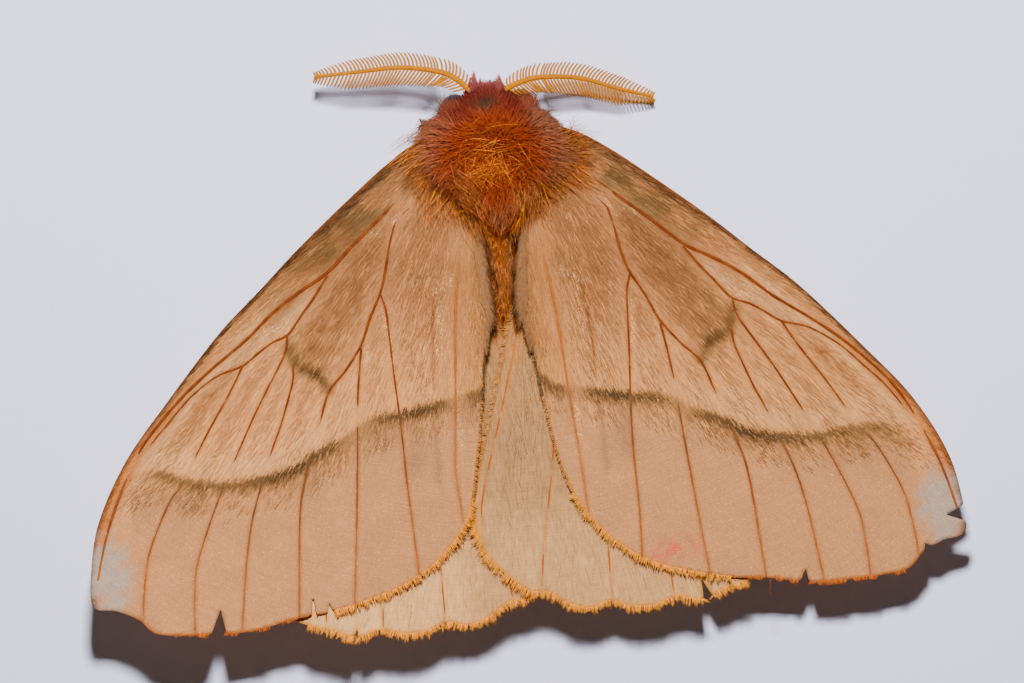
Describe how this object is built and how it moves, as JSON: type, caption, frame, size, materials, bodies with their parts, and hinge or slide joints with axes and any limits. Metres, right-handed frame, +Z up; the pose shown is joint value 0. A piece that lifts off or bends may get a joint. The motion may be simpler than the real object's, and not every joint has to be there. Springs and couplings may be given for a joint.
{
  "type": "lemaireodirphia moth",
  "caption": "Life-size model of a furry moth at rest on a floor, wings spread flat and back over the body, with broad comb-like antennae.",
  "frame": {"origin": "on the floor under the middle of the whole moth, under the abdomen", "axes": "+X to the moth's right, +Y towards its head, +Z up"},
  "size_m": [0.0636, 0.0429, 0.0123],
  "materials": {
    "coat_red": "deep rust-red fur",
    "coat_orange": "orange-brown fur",
    "wing_tan": "dusty tan scales",
    "hindwing_tan": "dusty greyish tan scales",
    "comb_yellow": "fine horny combs",
    "leg_brown": "short brown scales",
    "eye_dark": "faceted, glossy"
  },
  "bodies": {
    "root": {"head": "coat_red", "thorax": "coat_red", "abdomen": "coat_orange", "eye_left": "eye_dark", "eye_right": "eye_dark", "antenna_left": "comb_yellow", "antenna_right": "comb_yellow", "forewing_left": "wing_tan", "forewing_right": "wing_tan", "hindwing_left": "hindwing_tan", "hindwing_right": "hindwing_tan", "leg_fore_left": "leg_brown", "leg_fore_right": "leg_brown", "leg_mid_left": "leg_brown", "leg_mid_right": "leg_brown", "leg_hind_left": "leg_brown", "leg_hind_right": "leg_brown"}
  },
  "joints": []
}
